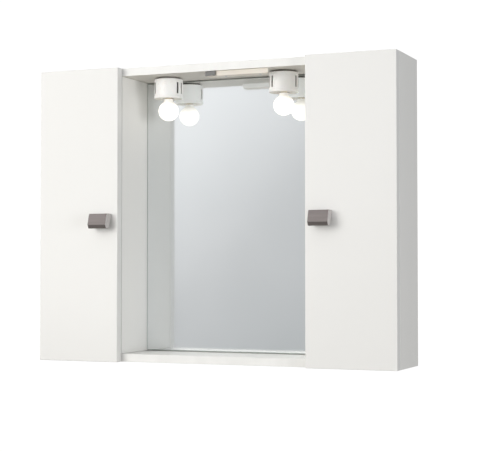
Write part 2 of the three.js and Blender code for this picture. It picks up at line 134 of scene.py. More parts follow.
def softbox(name, direction, distance, radius, strength, color):
    """A glowing round screen that isn't reflected as a disc in the mirror.

    Glossy rays pass through it until they have left a matt surface once.
    """
    material = bpy.data.materials.new(name)
    material.use_nodes = True
    nodes, links = material.node_tree.nodes, material.node_tree.links
    nodes.clear()
    ray = nodes.new("ShaderNodeLightPath")
    direct = nodes.new("ShaderNodeMath")
    direct.operation = "LESS_THAN"
    direct.inputs[1].default_value = 0.5
    hidden = nodes.new("ShaderNodeMath")
    hidden.operation = "MULTIPLY"
    emission = nodes.new("ShaderNodeEmission")
    emission.inputs["Color"].default_value = (*color, 1)
    emission.inputs["Strength"].default_value = strength
    clear = nodes.new("ShaderNodeBsdfTransparent")
    mix = nodes.new("ShaderNodeMixShader")
    output = nodes.new("ShaderNodeOutputMaterial")
    links.new(ray.outputs["Diffuse Depth"], direct.inputs[0])
    links.new(direct.outputs["Value"], hidden.inputs[0])
    links.new(ray.outputs["Is Glossy Ray"], hidden.inputs[1])
    links.new(hidden.outputs["Value"], mix.inputs["Fac"])
    links.new(emission.outputs["Emission"], mix.inputs[1])
    links.new(clear.outputs["BSDF"], mix.inputs[2])
    links.new(mix.outputs["Shader"], output.inputs["Surface"])
    bm = bmesh.new()
    bmesh.ops.create_circle(bm, cap_ends=True, radius=radius, segments=48)
    mesh = bpy.data.meshes.new(name)
    bm.to_mesh(mesh)
    bm.free()
    mesh.materials.append(material)
    screen = bpy.data.objects.new(name, mesh)
    facing_cabinet(screen, direction, distance, "Z")


def studio_world():
    """A white backdrop, and a soft dome, bright above and to the left and dim to the right."""
    world = bpy.data.worlds.new("studio")
    bpy.context.scene.world = world
    world.use_nodes = True
    nodes, links = world.node_tree.nodes, world.node_tree.links
    nodes.clear()
    place = nodes.new("ShaderNodeTexCoord")
    axis = nodes.new("ShaderNodeVectorMath")
    axis.operation = "DOT_PRODUCT"
    axis.inputs[1].default_value = DOME_AXIS
    spread = nodes.new("ShaderNodeMapRange")
    spread.inputs["From Min"].default_value = -0.5
    spread.inputs["From Max"].default_value = 0.5
    ramp = nodes.new("ShaderNodeValToRGB")
    elements = ramp.color_ramp.elements
    while len(elements) < len(DOME):
        elements.new(0.5)
    for element, (position, color) in zip(elements, DOME):
        element.position = position
        element.color = (*color, 1)
    dome = nodes.new("ShaderNodeBackground")
    backdrop = nodes.new("ShaderNodeBackground")
    backdrop.inputs["Color"].default_value = (1, 1, 1, 1)
    backdrop.inputs["Strength"].default_value = BACKDROP
    ray = nodes.new("ShaderNodeLightPath")
    share = nodes.new("ShaderNodeMapRange")
    share.inputs["To Min"].default_value = 1.0
    share.inputs["To Max"].default_value = DOME_SHARE
    mix = nodes.new("ShaderNodeMixShader")
    output = nodes.new("ShaderNodeOutputWorld")
    links.new(place.outputs["Generated"], axis.inputs[0])
    links.new(axis.outputs["Value"], spread.inputs["Value"])
    links.new(spread.outputs["Result"], ramp.inputs["Fac"])
    links.new(ramp.outputs["Color"], dome.inputs["Color"])
    links.new(ray.outputs["Is Diffuse Ray"], share.inputs["Value"])
    links.new(share.outputs["Result"], dome.inputs["Strength"])
    links.new(ray.outputs["Is Camera Ray"], mix.inputs["Fac"])
    links.new(dome.outputs["Background"], mix.inputs[1])
    links.new(backdrop.outputs["Background"], mix.inputs[2])
    links.new(mix.outputs["Shader"], output.inputs["Surface"])


# ---- materials -----------------------------------------------------------------------------------


class Surface:
    """A procedural material: one Principled shader fed by textures in the object's own frame."""

    def __init__(self, name, roughness, metallic=0.0, **sockets):
        self.material = bpy.data.materials.new(name)
        self.material.use_nodes = True
        self.tree = self.material.node_tree
        self.shader = self.tree.nodes["Principled BSDF"]
        self.shader.inputs["Roughness"].default_value = roughness
        self.shader.inputs["Metallic"].default_value = metallic
        for socket, value in sockets.items():
            self.shader.inputs[socket.replace("_", " ")].default_value = value
        self.place = self.tree.nodes.new("ShaderNodeTexCoord").outputs["Object"]

    def add(self, kind, inputs, **settings):
        node = self.tree.nodes.new(kind)
        for name, value in settings.items():
            setattr(node, name, value)
        for socket, value in inputs.items():
            if isinstance(value, bpy.types.NodeSocket):
                self.tree.links.new(value, node.inputs[socket])
            else:
                node.inputs[socket].default_value = value
        return node

    def stretched(self, scale):
        inputs = {"Vector": self.place, "Scale": scale}
        return self.add("ShaderNodeMapping", inputs).outputs["Vector"]

    def noise(self, scale, detail=3.0, place=None):
        inputs = {"Vector": place or self.place, "Scale": scale, "Detail": detail}
        return self.add("ShaderNodeTexNoise", inputs).outputs["Fac"]

    def cells(self, scale):
        inputs = {"Vector": self.place, "Scale": scale}
        return self.add("ShaderNodeTexVoronoi", inputs).outputs["Distance"]

    def ramp(self, factor, *stops):
        node = self.add("ShaderNodeValToRGB", {"Fac": factor})
        elements = node.color_ramp.elements
        while len(elements) < len(stops):
            elements.new(0.5)
        for element, (position, color) in zip(elements, stops):
            element.position = position
            element.color = (*color, 1)
        return node.outputs["Color"]

    def range(self, value, low, high):
        inputs = {"Value": value, "From Min": 0.3, "From Max": 0.7, "To Min": low, "To Max": high}
        return self.add("ShaderNodeMapRange", inputs).outputs["Result"]

    def mix(self, factor, first, second):
        node = self.add("ShaderNodeMix", {}, data_type="RGBA")
        sockets = (node.inputs[0], node.inputs[6], node.inputs[7])  # factor and the two colours
        for socket, value in zip(sockets, (factor, first, second)):
            if isinstance(value, bpy.types.NodeSocket):
                self.tree.links.new(value, socket)
            else:
                socket.default_value = value
        return node.outputs[2]

    def edges(self, width):
        """One near the piece's edges and nought on its flats."""
        near = self.add("ShaderNodeBevel", {"Radius": width}, samples=4).outputs["Normal"]
        flat = self.add("ShaderNodeNewGeometry", {}).outputs["Normal"]
        dot = self.add("ShaderNodeVectorMath", {0: near, 1: flat}, operation="DOT_PRODUCT")
        inputs = {"Value": dot.outputs["Value"], "From Min": 0.995, "From Max": 0.8}
        return self.add("ShaderNodeMapRange", inputs).outputs["Result"]

    def color(self, socket):
        self.tree.links.new(socket, self.shader.inputs["Base Color"])

    def roughness(self, socket):
        self.tree.links.new(socket, self.shader.inputs["Roughness"])

    def bump(self, height, depth, strength):
        inputs = {"Height": height, "Distance": depth, "Strength": strength}
        node = self.add("ShaderNodeBump", inputs)
        self.tree.links.new(node.outputs["Normal"], self.shader.inputs["Normal"])


def lacquer():
    s = Surface("lacquer", 0.3, Coat_Weight=0.25, Coat_Roughness=0.12)
    cloud = s.ramp(s.noise(2.2, 1.0), (0.3, (0.868, 0.862, 0.842)), (0.7, (0.876, 0.870, 0.851)))
    s.color(s.mix(s.edges(1.2 * MM), cloud, (0.78, 0.775, 0.755, 1)))
    s.roughness(s.range(s.noise(90.0, 1.0), 0.29, 0.33))
    s.bump(s.noise(420.0, 2.0), 0.06 * MM, 0.5)
    return s.material


def melamine():
    s = Surface("melamine", 0.42)
    tone = s.ramp(s.noise(4.0, 1.0), (0.3, (0.882, 0.876, 0.848)), (0.7, (0.895, 0.889, 0.862)))
    s.color(s.mix(s.edges(0.8 * MM), tone, (0.76, 0.755, 0.735, 1)))
    s.roughness(s.range(s.noise(60.0), 0.36, 0.5))
    s.bump(s.noise(1400.0, 4.0), 0.05 * MM, 0.7)
    return s.material


def painted_shade_underside():
    """Painted shade: a darker, duller tone for the boards' undersides."""
    s = Surface("painted_shade_underside", 0.5)
    s.color(s.ramp(s.noise(5.0, 2.0), (0.3, (0.70, 0.675, 0.625)), (0.7, (0.73, 0.705, 0.655))))
    s.roughness(s.range(s.noise(60.0), 0.45, 0.58))
    s.bump(s.noise(1400.0, 4.0), 0.05 * MM, 0.7)
    return s.material


def edge_band():
    s = Surface("edge_band", 0.33)
    grain = s.noise(40.0, 3.0, s.stretched((1, 1, 0.05)))
    s.color(s.ramp(grain, (0.35, (0.90, 0.897, 0.875)), (0.65, (0.93, 0.926, 0.905))))
    s.roughness(s.range(grain, 0.28, 0.4))
    s.bump(s.noise(900.0), 0.03 * MM, 0.6)
    return s.material


def hardboard():
    s = Surface("hardboard", 0.6)
    fibres = s.noise(260.0, 5.0)
    s.color(s.ramp(fibres, (0.3, (0.74, 0.73, 0.70)), (0.7, (0.81, 0.80, 0.78))))
    s.roughness(s.range(s.noise(90.0), 0.5, 0.7))
    s.bump(fibres, 0.08 * MM, 0.6)
    return s.material


def silvered_glass():
    s = Surface("silvered_glass", 0.02, 1.0)
    s.color(s.ramp(s.noise(3.0), (0.3, (0.84, 0.865, 0.875)), (0.7, (0.86, 0.88, 0.89))))
    s.roughness(s.range(s.noise(7.0), 0.06, 0.08))
    return s.material


def glass_edge():
    s = Surface("glass_edge", 0.12, Coat_Weight=0.6, Coat_Roughness=0.05)
    s.color(s.ramp(s.noise(120.0), (0.3, (0.16, 0.24, 0.21)), (0.7, (0.27, 0.36, 0.32))))
    s.bump(s.noise(900.0), 0.04 * MM, 0.5)
    return s.material


def brushed_nickel(name, low, high, worn, metallic):
    s = Surface(name, 0.52, metallic)
    brush = s.noise(160.0, 6.0, s.stretched((0.06, 1, 1)))
    s.color(s.mix(s.edges(0.9 * MM), s.ramp(brush, (0.3, low), (0.7, high)), (*worn, 1)))
    s.roughness(s.range(brush, 0.47, 0.57))
    s.bump(brush, 0.03 * MM, 0.5)
    return s.material


def nickel_steel():
    s = Surface("nickel_steel", 0.26, 1.0)
    tone = s.ramp(s.noise(45.0, 5.0), (0.3, (0.60, 0.59, 0.57)), (0.7, (0.74, 0.73, 0.71)))
    s.color(s.mix(s.edges(0.5 * MM), tone, (0.86, 0.85, 0.84, 1)))
    s.roughness(s.range(s.noise(200.0, 4.0), 0.18, 0.36))
    s.bump(s.noise(500.0), 0.02 * MM, 0.5)
    return s.material


def zinc_steel():
    s = Surface("zinc_steel", 0.38, 1.0)
    s.color(s.ramp(s.cells(220.0), (0.1, (0.50, 0.52, 0.54)), (0.6, (0.70, 0.72, 0.74))))
    s.roughness(s.range(s.noise(300.0), 0.3, 0.5))
    s.bump(s.cells(220.0), 0.02 * MM, 0.4)
    return s.material


def moulded(name, low, high, worn, roughness, glow=None):
    """Moulded plastic: a little mottled, with a fine spark-eroded grain and rubbed edges.

    A glow is painted light: emission that stands in for the light that comes through a thin shell,
    and for the light that the mirror throws back at the faces turned towards it.
    """
    s = Surface(name, roughness, Subsurface_Weight=0.04, Subsurface_Scale=2 * MM)
    tone = s.ramp(s.noise(30.0, 4.0), (0.3, low), (0.7, high))
    s.color(s.mix(s.edges(0.6 * MM), tone, (*worn, 1)))
    s.roughness(s.range(s.noise(150.0), roughness - 0.05, roughness + 0.08))
    s.bump(s.noise(1600.0, 2.0), 0.03 * MM, 0.6)
    if glow:
        through, thrown_back = glow
        normal = s.add("ShaderNodeNewGeometry", {}).outputs["Normal"]
        back = s.add("ShaderNodeSeparateXYZ", {"Vector": normal}).outputs["Y"]
        turned = s.add("ShaderNodeMapRange", {"Value": back, "From Min": 0.0, "From Max": 0.8})
        color = s.mix(turned.outputs["Result"], (*through, 1), (*thrown_back, 1))
        s.tree.links.new(color, s.shader.inputs["Emission Color"])
        s.shader.inputs["Emission Strength"].default_value = 1.0
    return s.material


def brass():
    s = Surface("brass", 0.25, 1.0)
    s.color(s.ramp(s.noise(90.0, 5.0), (0.3, (0.62, 0.50, 0.28)), (0.7, (0.80, 0.68, 0.42))))
    s.roughness(s.range(s.noise(300.0), 0.18, 0.34))
    s.bump(s.noise(700.0), 0.02 * MM, 0.5)
    return s.material


NECK_FADE = (0.208, 0.240)  # heights in metres between which the globe dims towards its neck


def lit_opal():
    """Opal glass lit from inside, brighter in the globe than by its neck."""
    s = Surface("lit_opal", 0.12, Emission_Strength=1.35, Coat_Weight=0.5, Coat_Roughness=0.03)
    s.color(s.ramp(s.noise(40.0), (0.3, (0.93, 0.925, 0.91)), (0.7, (0.97, 0.965, 0.95))))
    height = s.add("ShaderNodeSeparateXYZ", {"Vector": s.place}).outputs["Z"]
    inputs = {"Value": height, "From Min": NECK_FADE[0], "From Max": NECK_FADE[1]}
    neck = s.add("ShaderNodeMapRange", inputs, interpolation_type="SMOOTHSTEP").outputs["Result"]
    glow = s.ramp(s.noise(14.0), (0.3, (1.0, 0.93, 0.83)), (0.7, (1.0, 0.95, 0.86)))
    s.tree.links.new(s.mix(neck, glow, (0.22, 0.21, 0.19, 1)), s.shader.inputs["Emission Color"])
    return s.material


def floor_paint():
    """Pale paint that throws little light back up at the cabinet."""
    s = Surface("floor_paint", 0.7)
    tone = s.ramp(s.noise(2.0), (0.3, (0.70, 0.69, 0.67)), (0.7, (0.74, 0.73, 0.71)))
    bounced = s.add("ShaderNodeLightPath", {}).outputs["Is Diffuse Ray"]
    s.color(s.mix(bounced, tone, (0.36, 0.34, 0.30, 1)))
    s.bump(s.noise(60.0), 0.2 * MM, 0.3)
    return s.material


# Each with its darker and lighter tone, the colour of its worn edges and how metallic it is.
NICKELS = {
    "satin_nickel": ((0.205, 0.18, 0.175), (0.25, 0.22, 0.215), (0.36, 0.335, 0.33), 0.4),
    # The pulls' end faces: a paler tone as a painted highlight.
    "end_highlight_nickel": ((0.56, 0.53, 0.52), (0.66, 0.63, 0.62), (0.72, 0.70, 0.69), 0.3),
    # The pulls' downward faces: a darker tone as painted shade.
    "painted_shade_nickel": ((0.115, 0.10, 0.096), (0.145, 0.127, 0.122), (0.24, 0.22, 0.215), 0.4),
}
WHITE = ((0.93, 0.925, 0.91), (0.95, 0.945, 0.93), (0.86, 0.85, 0.83))
IVORY = ((0.80, 0.74, 0.65), (0.84, 0.78, 0.69), (0.74, 0.68, 0.59))
# Each with its darker and lighter tone, the colour of its rubbed edges, its roughness and, on the
# pieces by the mirror, its painted glow.
PLASTICS = {
    "white_plastic": (*WHITE, 0.3),
    # Painted glow: faint on the front, stronger on the faces turned to the mirror.
    "lamp_shell": (*WHITE, 0.3, ((0.07, 0.068, 0.065), (0.31, 0.305, 0.29))),
    # The socket's own tone, also used as painted shade on the lamp rims' undersides.
    "insulator": ((0.70, 0.68, 0.62), (0.77, 0.75, 0.70), (0.66, 0.64, 0.58), 0.45),
    # Painted glow on the faces turned to the mirror.
    "ivory_plastic": (*IVORY, 0.4, ((0, 0, 0), (0.29, 0.31, 0.33))),
    "dark_plastic": ((0.13, 0.13, 0.125), (0.17, 0.17, 0.165), (0.24, 0.24, 0.23), 0.42),
    # Painted shade: the lamps' spacers are dark grey to stand for the shade in the gap under the
    # board.
    "painted_shade_grey_plastic": ((0.25, 0.24, 0.22), (0.31, 0.30, 0.28), (0.36, 0.35, 0.33), 0.5),
    # A darker white, used as painted shade inside the lamp housings and their vents.
    "painted_shade_plastic": ((0.56, 0.55, 0.53), (0.62, 0.61, 0.59), (0.65, 0.64, 0.62), 0.5),
    "lead_sheath": ((0.74, 0.74, 0.73), (0.80, 0.80, 0.79), (0.70, 0.70, 0.69), 0.5),
    "pad_rubber": ((0.55, 0.55, 0.54), (0.62, 0.62, 0.61), (0.5, 0.5, 0.49), 0.55),
}
PLAIN_FINISHES = (
    lacquer, melamine, painted_shade_underside, edge_band, hardboard, silvered_glass, glass_edge,
    nickel_steel, zinc_steel, brass, lit_opal, floor_paint,
)
FINISH = {make.__name__: make() for make in PLAIN_FINISHES}
FINISH.update({name: brushed_nickel(name, *settings) for name, settings in NICKELS.items()})
FINISH.update({name: moulded(name, *settings) for name, settings in PLASTICS.items()})


# ---- mesh helpers --------------------------------------------------------------------------------
# Small parts are drawn in millimetres about their own axis and put in place by a matrix.

SMOOTH_BELOW = math.radians(50)  # edges sharper than this break the smooth shading
EASED_ABOVE = math.radians(35)  # and edges sharper than this are rounded over


def new_piece(name, mesh, body, finish, stands_for=()):
    piece = bpy.data.objects.new(name, mesh)
    bpy.context.scene.collection.objects.link(piece)
    if not mesh.materials:
        mesh.materials.append(FINISH[finish])
    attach(piece, body)
    if stands_for:
        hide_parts(*stands_for)
    return piece


def finish_mesh(name, bm):
    """Faces of one mesh, smooth except across its sharp edges."""
    bmesh.ops.recalc_face_normals(bm, faces=bm.faces)
    for face in bm.faces:
        face.smooth = True
    for edge in bm.edges:
        edge.smooth = not (edge.is_manifold and edge.calc_face_angle(0) > SMOOTH_BELOW)
    mesh = bpy.data.meshes.new(name)
    bm.to_mesh(mesh)
    bm.free()
    return mesh


def flatten_shading(piece):
    """Keeps the large flats truly flat between their rounded edges."""
    modifier = piece.modifiers.new("flats", "WEIGHTED_NORMAL")
    modifier.keep_sharp = True
    modifier.weight = 90


def ease_edges(bm, width, segments):
    sharp = [e for e in bm.edges if e.is_manifold and e.calc_face_angle(0) > EASED_ABOVE]
    bmesh.ops.bevel(
        bm, geom=sharp, offset=width, segments=segments, profile=0.5, affect="EDGES",
        clamp_overlap=True,
    )


def eased_solid(node, width, segments=2):
    """The solid of a CAD node with its sharp edges rounded over."""
    bm = bmesh.new()
    bm.from_mesh(frame["nodes"][node].data)
    bmesh.ops.remove_doubles(bm, verts=bm.verts, dist=0.002 * MM)
    bmesh.ops.dissolve_limit(bm, angle_limit=math.radians(1), verts=bm.verts, edges=bm.edges)
    ease_edges(bm, width, segments)
    return bm


def stand_in(node, bm, finish):
    """A finished piece in the place of one CAD node."""
    mesh, body = finish_mesh(node, bm), frame["nodes"][node]["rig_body"]
    piece = new_piece(f"{node}.finished", mesh, body, finish, [node])
    flatten_shading(piece)
    return piece


def lathe(outline, segments):
    """A solid turned about Z from (radius, height) points, either a ring or closed on its axis."""
    bm = bmesh.new()
    rings = []
    angles = [2 * math.pi * k / segments for k in range(segments)]
    for radius, height in outline:
        if radius < 1e-6:
            rings.append([bm.verts.new((0, 0, height))])
        else:
            points = [(radius * math.cos(a), radius * math.sin(a), height) for a in angles]
            rings.append([bm.verts.new(point) for point in points])
    followers = rings[1:] + rings[:1] if len(rings[0]) > 1 else rings[1:]
    for low, high in zip(rings, followers):
        for k in range(segments):
            after = (k + 1) % segments
            corners = [low[k % len(low)], low[after % len(low)]]
            corners += [high[after % len(high)], high[k % len(high)]]
            bm.faces.new(dict.fromkeys(corners))
    return bm


def arc(centre, radius, start, end, steps):
    """Points of an arc as (radius, height), with angles in degrees from the outward direction."""
    angles = [math.radians(start + (end - start) * k / steps) for k in range(steps + 1)]
    return [(centre[0] + radius * math.cos(a), centre[1] + radius * math.sin(a)) for a in angles]


def rounded_box(size, radius, segments):
    bm = bmesh.new()
    bmesh.ops.create_cube(bm, size=1)
    bmesh.ops.scale(bm, vec=size, verts=bm.verts)
    ease_edges(bm, radius, segments)
    return bm


def placed(bm, matrix):
    bmesh.ops.transform(bm, matrix=matrix, verts=bm.verts)
    return bm


def gathered(*solids):
    """Several solids as one, each left whole."""
    whole = bmesh.new()
    for solid in solids:
        mesh = bpy.data.meshes.new("part")
        solid.to_mesh(mesh)
        solid.free()
        whole.from_mesh(mesh)
        bpy.data.meshes.remove(mesh)
    return whole


def repeated(solid, matrices):
    return gathered(*[placed(solid.copy(), matrix) for matrix in matrices])


def subtracted(target, tool):
    """Target with tool cut out of it."""
    objects = []
    for name, bm in (("target", target), ("tool", tool)):
        objects.append(bpy.data.objects.new(name, finish_mesh(name, bm)))
        bpy.context.scene.collection.objects.link(objects[-1])
    cut = objects[0].modifiers.new("cut", "BOOLEAN")
    cut.operation = "DIFFERENCE"
    cut.solver = "EXACT"
    cut.object = objects[1]
    result = objects[0].evaluated_get(bpy.context.evaluated_depsgraph_get())
    bm = bmesh.new()
    bm.from_mesh(result.to_mesh())
    for item in objects:
        mesh = item.data
        bpy.data.objects.remove(item)
        bpy.data.meshes.remove(mesh)
    return bm


def pointing(direction, at, turn=0.0):
    """Takes a part drawn along +Z, in millimetres, to a place in millimetres along a direction."""
    aim = Vector(direction).to_track_quat("Z", "Y").to_matrix().to_4x4()
    spin = Matrix.Rotation(turn, 4, "Z")
    return Matrix.Scale(MM, 4) @ Matrix.Translation(Vector(at)) @ aim @ spin


def swept(points, radius, bend, sides):
    """A round cord along a route whose corners are turned with a bend radius."""
    path = [Vector(points[0])]
    for before, corner, after in zip(points, points[1:], points[2:]):
        before, corner, after = Vector(before), Vector(corner), Vector(after)
        into = corner + (before - corner).normalized() * bend
        out = corner + (after - corner).normalized() * bend
        for k in range(9):
            t = k / 8
            path.append(into * (1 - t) ** 2 + corner * (2 * t * (1 - t)) + out * t**2)
    path.append(Vector(points[-1]))
    bm = bmesh.new()
    rings = []
    across = None
    for i, point in enumerate(path):
        along = (path[min(i + 1, len(path) - 1)] - path[max(i - 1, 0)]).normalized()
        across = along.orthogonal().normalized() if across is None else across
        across = (across - along * across.dot(along)).normalized()
        beside = along.cross(across)
        ring = []
        for k in range(sides):
            a = 2 * math.pi * k / sides
            outward = across * math.cos(a) + beside * math.sin(a)
            ring.append(bm.verts.new(point + outward * radius))
        rings.append(ring)
    for low, high in zip(rings, rings[1:]):
        for k in range(sides):
            after = (k + 1) % sides
            bm.faces.new((low[k], low[after], high[after], high[k]))
    bm.faces.new(rings[0][::-1])
    bm.faces.new(rings[-1])
    return bm


def screw_head(radius, height):
    """A domed head with a cross recess, seated at z = 0."""
    dome = [(0, 1), (0.4, 0.97), (0.7, 0.86), (0.9, 0.6), (1.0, 0.25), (1.0, -0.2), (0, -0.2)]
    head = lathe([(radius * r, height * h) for r, h in dome], 40)
    long, thin = 1.15 * radius, 0.24 * radius
    for size in ((long, thin, 2 * height), (thin, long, 2 * height)):
        bar = rounded_box(Vector(size), 0.05 * radius, 1)
        head = subtracted(head, placed(bar, Matrix.Translation((0, 0, 1.3 * height))))
    return head


# ---- boards, shelves and backs -------------------------------------------------------------------

SIDE = 385
BOARD = 16
NICHE_SIDE = 203
DOOR_BACK = -126
DOOR_FRONT = -144
BOARD_INSIDE = 284
SHELF_UNDERSIDES = (-105, 89)
PIN_DROP = 3.0  # from a shelf's underside to the middle of its pins
PIN_ROWS = (-98, -34)
HOLE_PITCH = 32
CAM_PLACES = [(y, z) for y in (-104, -56) for z in (-262, 262)]


def cupboard_walls(hand):
    """The two inside faces of a cupboard, as node name, x of the face and its inward direction."""
    sign = HANDS[hand]
    return (
        (f"{hand}_outer_side", sign * (SIDE - BOARD), -sign),
        (f"{hand}_inner_side", sign * (NICHE_SIDE + BOARD), sign),
    )


def edge_banded(piece):
    """Gives the faces along the front their own edge band."""
    piece.data.materials.append(FINISH["edge_band"])
    for polygon in piece.data.polygons:
        if polygon.normal.y < -0.9:
            polygon.material_index = 1


def finish_carcass():
    for hand in HANDS:
        for node, x, inward in cupboard_walls(hand):
            hole = lathe([(0, -9), (2.5, -9), (2.5, 0), (2.9, 0.5), (0, 0.5)], 20)
            pin_heights = [z - PIN_DROP for z in SHELF_UNDERSIDES]
            heights = [z + HOLE_PITCH * k for z in pin_heights for k in range(-2, 3)]
            spots = [pointing((inward, 0, 0), (x, y, z)) for y in PIN_ROWS for z in heights]
            board = subtracted(eased_solid(node, 0.6 * MM), repeated(hole, spots))
            edge_banded(stand_in(node, board, "melamine"))
        for level in LEVELS:
            node = f"{hand}_{level}_shelf"
            edge_banded(stand_in(node, eased_solid(node, 0.7 * MM), "melamine"))
        node = f"{hand}_back_panel"
        stand_in(node, eased_solid(node, 0.3 * MM), "hardboard")
    for node in ("top_board", "bottom_board"):
        board = stand_in(node, eased_solid(node, 0.6 * MM), "melamine")
        edge_banded(board)
        # Downward faces take a darker, duller tone as painted shade.
        board.data.materials.append(FINISH["painted_shade_underside"])
        for polygon in board.data.polygons:
            if polygon.normal.z < -0.99:
                polygon.material_index = 2
    stand_in("niche_back", eased_solid("niche_back", 0.4 * MM), "hardboard")


def finish_pins_and_cams():
    """A collared steel pin under each corner of each shelf, and the cams that join the boards."""
    for hand in HANDS:
        shelf_pin = lathe([
            (0, 7.5), (2.1, 7.5), (2.4, 7.2), (2.4, 1.2), (2.9, 1.0), (2.9, 0.05), (2.4, 0),
            (2.4, -8), (0, -8),
        ], 24)
        spots = [
            pointing((inward, 0, 0), (x, y, z - PIN_DROP))
            for _, x, inward in cupboard_walls(hand)
            for y in PIN_ROWS
            for z in SHELF_UNDERSIDES
        ]
        mesh = finish_mesh("shelf_pins", repeated(shelf_pin, spots))
        new_piece(f"{hand}_shelf_pins", mesh, "carcass", "nickel_steel")
        cam = screw_head(7.3, 0.7)
        spots = [
            pointing((inward, 0, 0), (x, y, z), math.radians(20))
            for _, x, inward in cupboard_walls(hand)
            for y, z in CAM_PLACES
        ]
        mesh = finish_mesh("cams", repeated(cam, spots))
        new_piece(f"{hand}_cams", mesh, "carcass", "zinc_steel")


# ---- doors, pulls and mirror ---------------------------------------------------------------------

PULL_SCREWS = ((-12, -3.5), (12, -3.5))  # x from the pull's centre, and z
PULL_CENTRE = 237.2
PAD_CENTRE = 213
PAD_HEIGHTS = (-291, 291)


def finish_pull(node):
    """A hooded pull whose end faces take a paler tone, a painted highlight, and whose downward
    faces take a darker one, painted shade.
    """
    pull = stand_in(node, eased_solid(node, 0.7 * MM, 3), "satin_nickel")
    # Paler end faces as a painted highlight, darker downward faces as painted shade.
    pull.data.materials.append(FINISH["end_highlight_nickel"])
    pull.data.materials.append(FINISH["painted_shade_nickel"])
    for polygon in pull.data.polygons:
        is_end, faces_down = abs(polygon.normal.x) > 0.99, polygon.normal.z < -0.35
        polygon.material_index = 1 if is_end else 2 if faces_down else 0


def finish_doors():
    for hand, sign in HANDS.items():
        node = f"{hand}_door"
        stand_in(node, eased_solid(node, 1.4 * MM, 4), "lacquer")
        finish_pull(f"{hand}_handle")
        leaf = f"{hand}_door_leaf"
        screw = screw_head(4.2, 2.2)
        spots = [pointing(BACK, (sign * PULL_CENTRE + dx, DOOR_BACK, z)) for dx, z in PULL_SCREWS]
        mesh = finish_mesh("pull_screws", repeated(screw, spots))
        new_piece(f"{hand}_pull_screws", mesh, leaf, "zinc_steel")
        pad = lathe([(0, 1.6), (3.2, 1.55), (3.9, 1.2), (4.2, 0.6), (4.3, 0), (0, 0)], 32)
        spots = [pointing(BACK, (sign * PAD_CENTRE, DOOR_BACK, z)) for z in PAD_HEIGHTS]
        mesh = finish_mesh("door_pads", repeated(pad, spots))
        new_piece(f"{hand}_door_pads", mesh, leaf, "pad_rubber")


def finish_mirror():
    low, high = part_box("mirror_glass")
    bm = placed(rounded_box(high - low, 0.7 * MM, 2), Matrix.Translation((low + high) / 2))
    mesh = finish_mesh("mirror_glass", bm)
    mesh.materials.append(FINISH["silvered_glass"])
    mesh.materials.append(FINISH["glass_edge"])
    for polygon in mesh.polygons:
        polygon.use_smooth = False
        polygon.material_index = 0 if polygon.normal.y < -0.99 else 1
    new_piece(
        "mirror_glass.finished", mesh, "carcass", "silvered_glass", ["mirror_glass"]
    )


# ---- hinges and hangers --------------------------------------------------------------------------
# As in the CAD model, u runs in from the cabinet's side and v runs back from the door's front.

HINGE_HEIGHTS = {"lower": -210, "upper": 210}
ARM_PIVOT = (31, 23)
CUP_PIVOT = (11, 13)
CUP_CENTRE = 22.5
# Each hinge's screws as (u, v, height above the hinge's middle).
PLATE_SCREWS = ((18.9, 57, -18), (18.9, 57, 18))
ARM_SCREWS = ((28, 46, 0), (28, 68, 0))
CUP_SCREWS = ((23, 18.8, -23.8), (23, 18.8, 23.8))
HINGE_SCREW_HEADS = ((4.0, 1.5), (3.0, 1.0), (3.6, 1.3))  # radius and height, in the same order
PINS = (("arm_pin", ARM_PIVOT, 9.2), ("cup_pin", CUP_PIVOT, 11.6))  # with half their lengths
PIN_RADIUS = 1.5


def at_hinge(sign, u, v, z):
    return (sign * (SIDE - u), DOOR_FRONT + v, z)


def hinge_cup(sign, height):
    """A drawn steel cup sunk in the door, with a rounded flange screwed to the door's back."""
    cup = lathe([
        (0, 5.3), (15.8, 5.3), *arc((15.8, 6.7), 1.4, -90, 0, 4), (17.2, 18.1),
        (15.6, 18.1), *arc((14.2, 7.5), 1.4, 0, -90, 4), (0, 6.1),
    ], 72)
    flange = rounded_box(Vector((18, 58, 0.75)), 0.3, 2)
    flange = placed(flange, Matrix.Translation((0.5, 0, 18.42)))
    mouth = lathe([(0, 17), (15.7, 17), (15.7, 20), (0, 20)], 72)
    whole = gathered(cup, subtracted(flange, mouth))
    return placed(whole, hinge_frame(sign, height))


def hinge_frame(sign, height):
    """Takes a part drawn with x along u from the cup's centre, y up and z along v to its place."""
    turn = Matrix(((-sign, 0, 0), (0, 0, 1), (0, 1, 0))).to_4x4()
    return Matrix.Scale(MM, 4) @ Matrix.Translation(at_hinge(sign, CUP_CENTRE, 0, height)) @ turn


def pin(radius, half_length):
    """A plain pin with rounded ends, half of it on either side of z = 0."""
    end = arc((radius - 0.4, half_length - 0.4), 0.4, 0, 90, 3)
    upper = [*end, (0, half_length)]
    return lathe([(r, -z) for r, z in reversed(upper)] + upper, 32)


def hinge_screws(head, direction, sign, height, places, turn=0.0):
    spots = [pointing(direction, at_hinge(sign, u, v, height + dz), turn) for u, v, dz in places]
    return repeated(head, spots)


def finish_hinge_screws(hinge, leaf, sign, height):
    """Two screws through the plate and two on the arm, and two that hold the cup to the door."""
    inward = (-sign, 0, 0)
    plate_head, arm_head, cup_head = (screw_head(*size) for size in HINGE_SCREW_HEADS)
    plate = hinge_screws(plate_head, inward, sign, height, PLATE_SCREWS)
    arm = hinge_screws(arm_head, inward, sign, height, ARM_SCREWS, 0.5)
    mesh = finish_mesh("fixed_screws", gathered(plate, arm))
    new_piece(f"{hinge}_fixed_screws", mesh, "carcass", "zinc_steel")
    cup = hinge_screws(cup_head, BACK, sign, height, CUP_SCREWS, 0.3)
    mesh = finish_mesh("cup_screws", cup)
    new_piece(f"{hinge}_cup_screws", mesh, leaf, "zinc_steel")


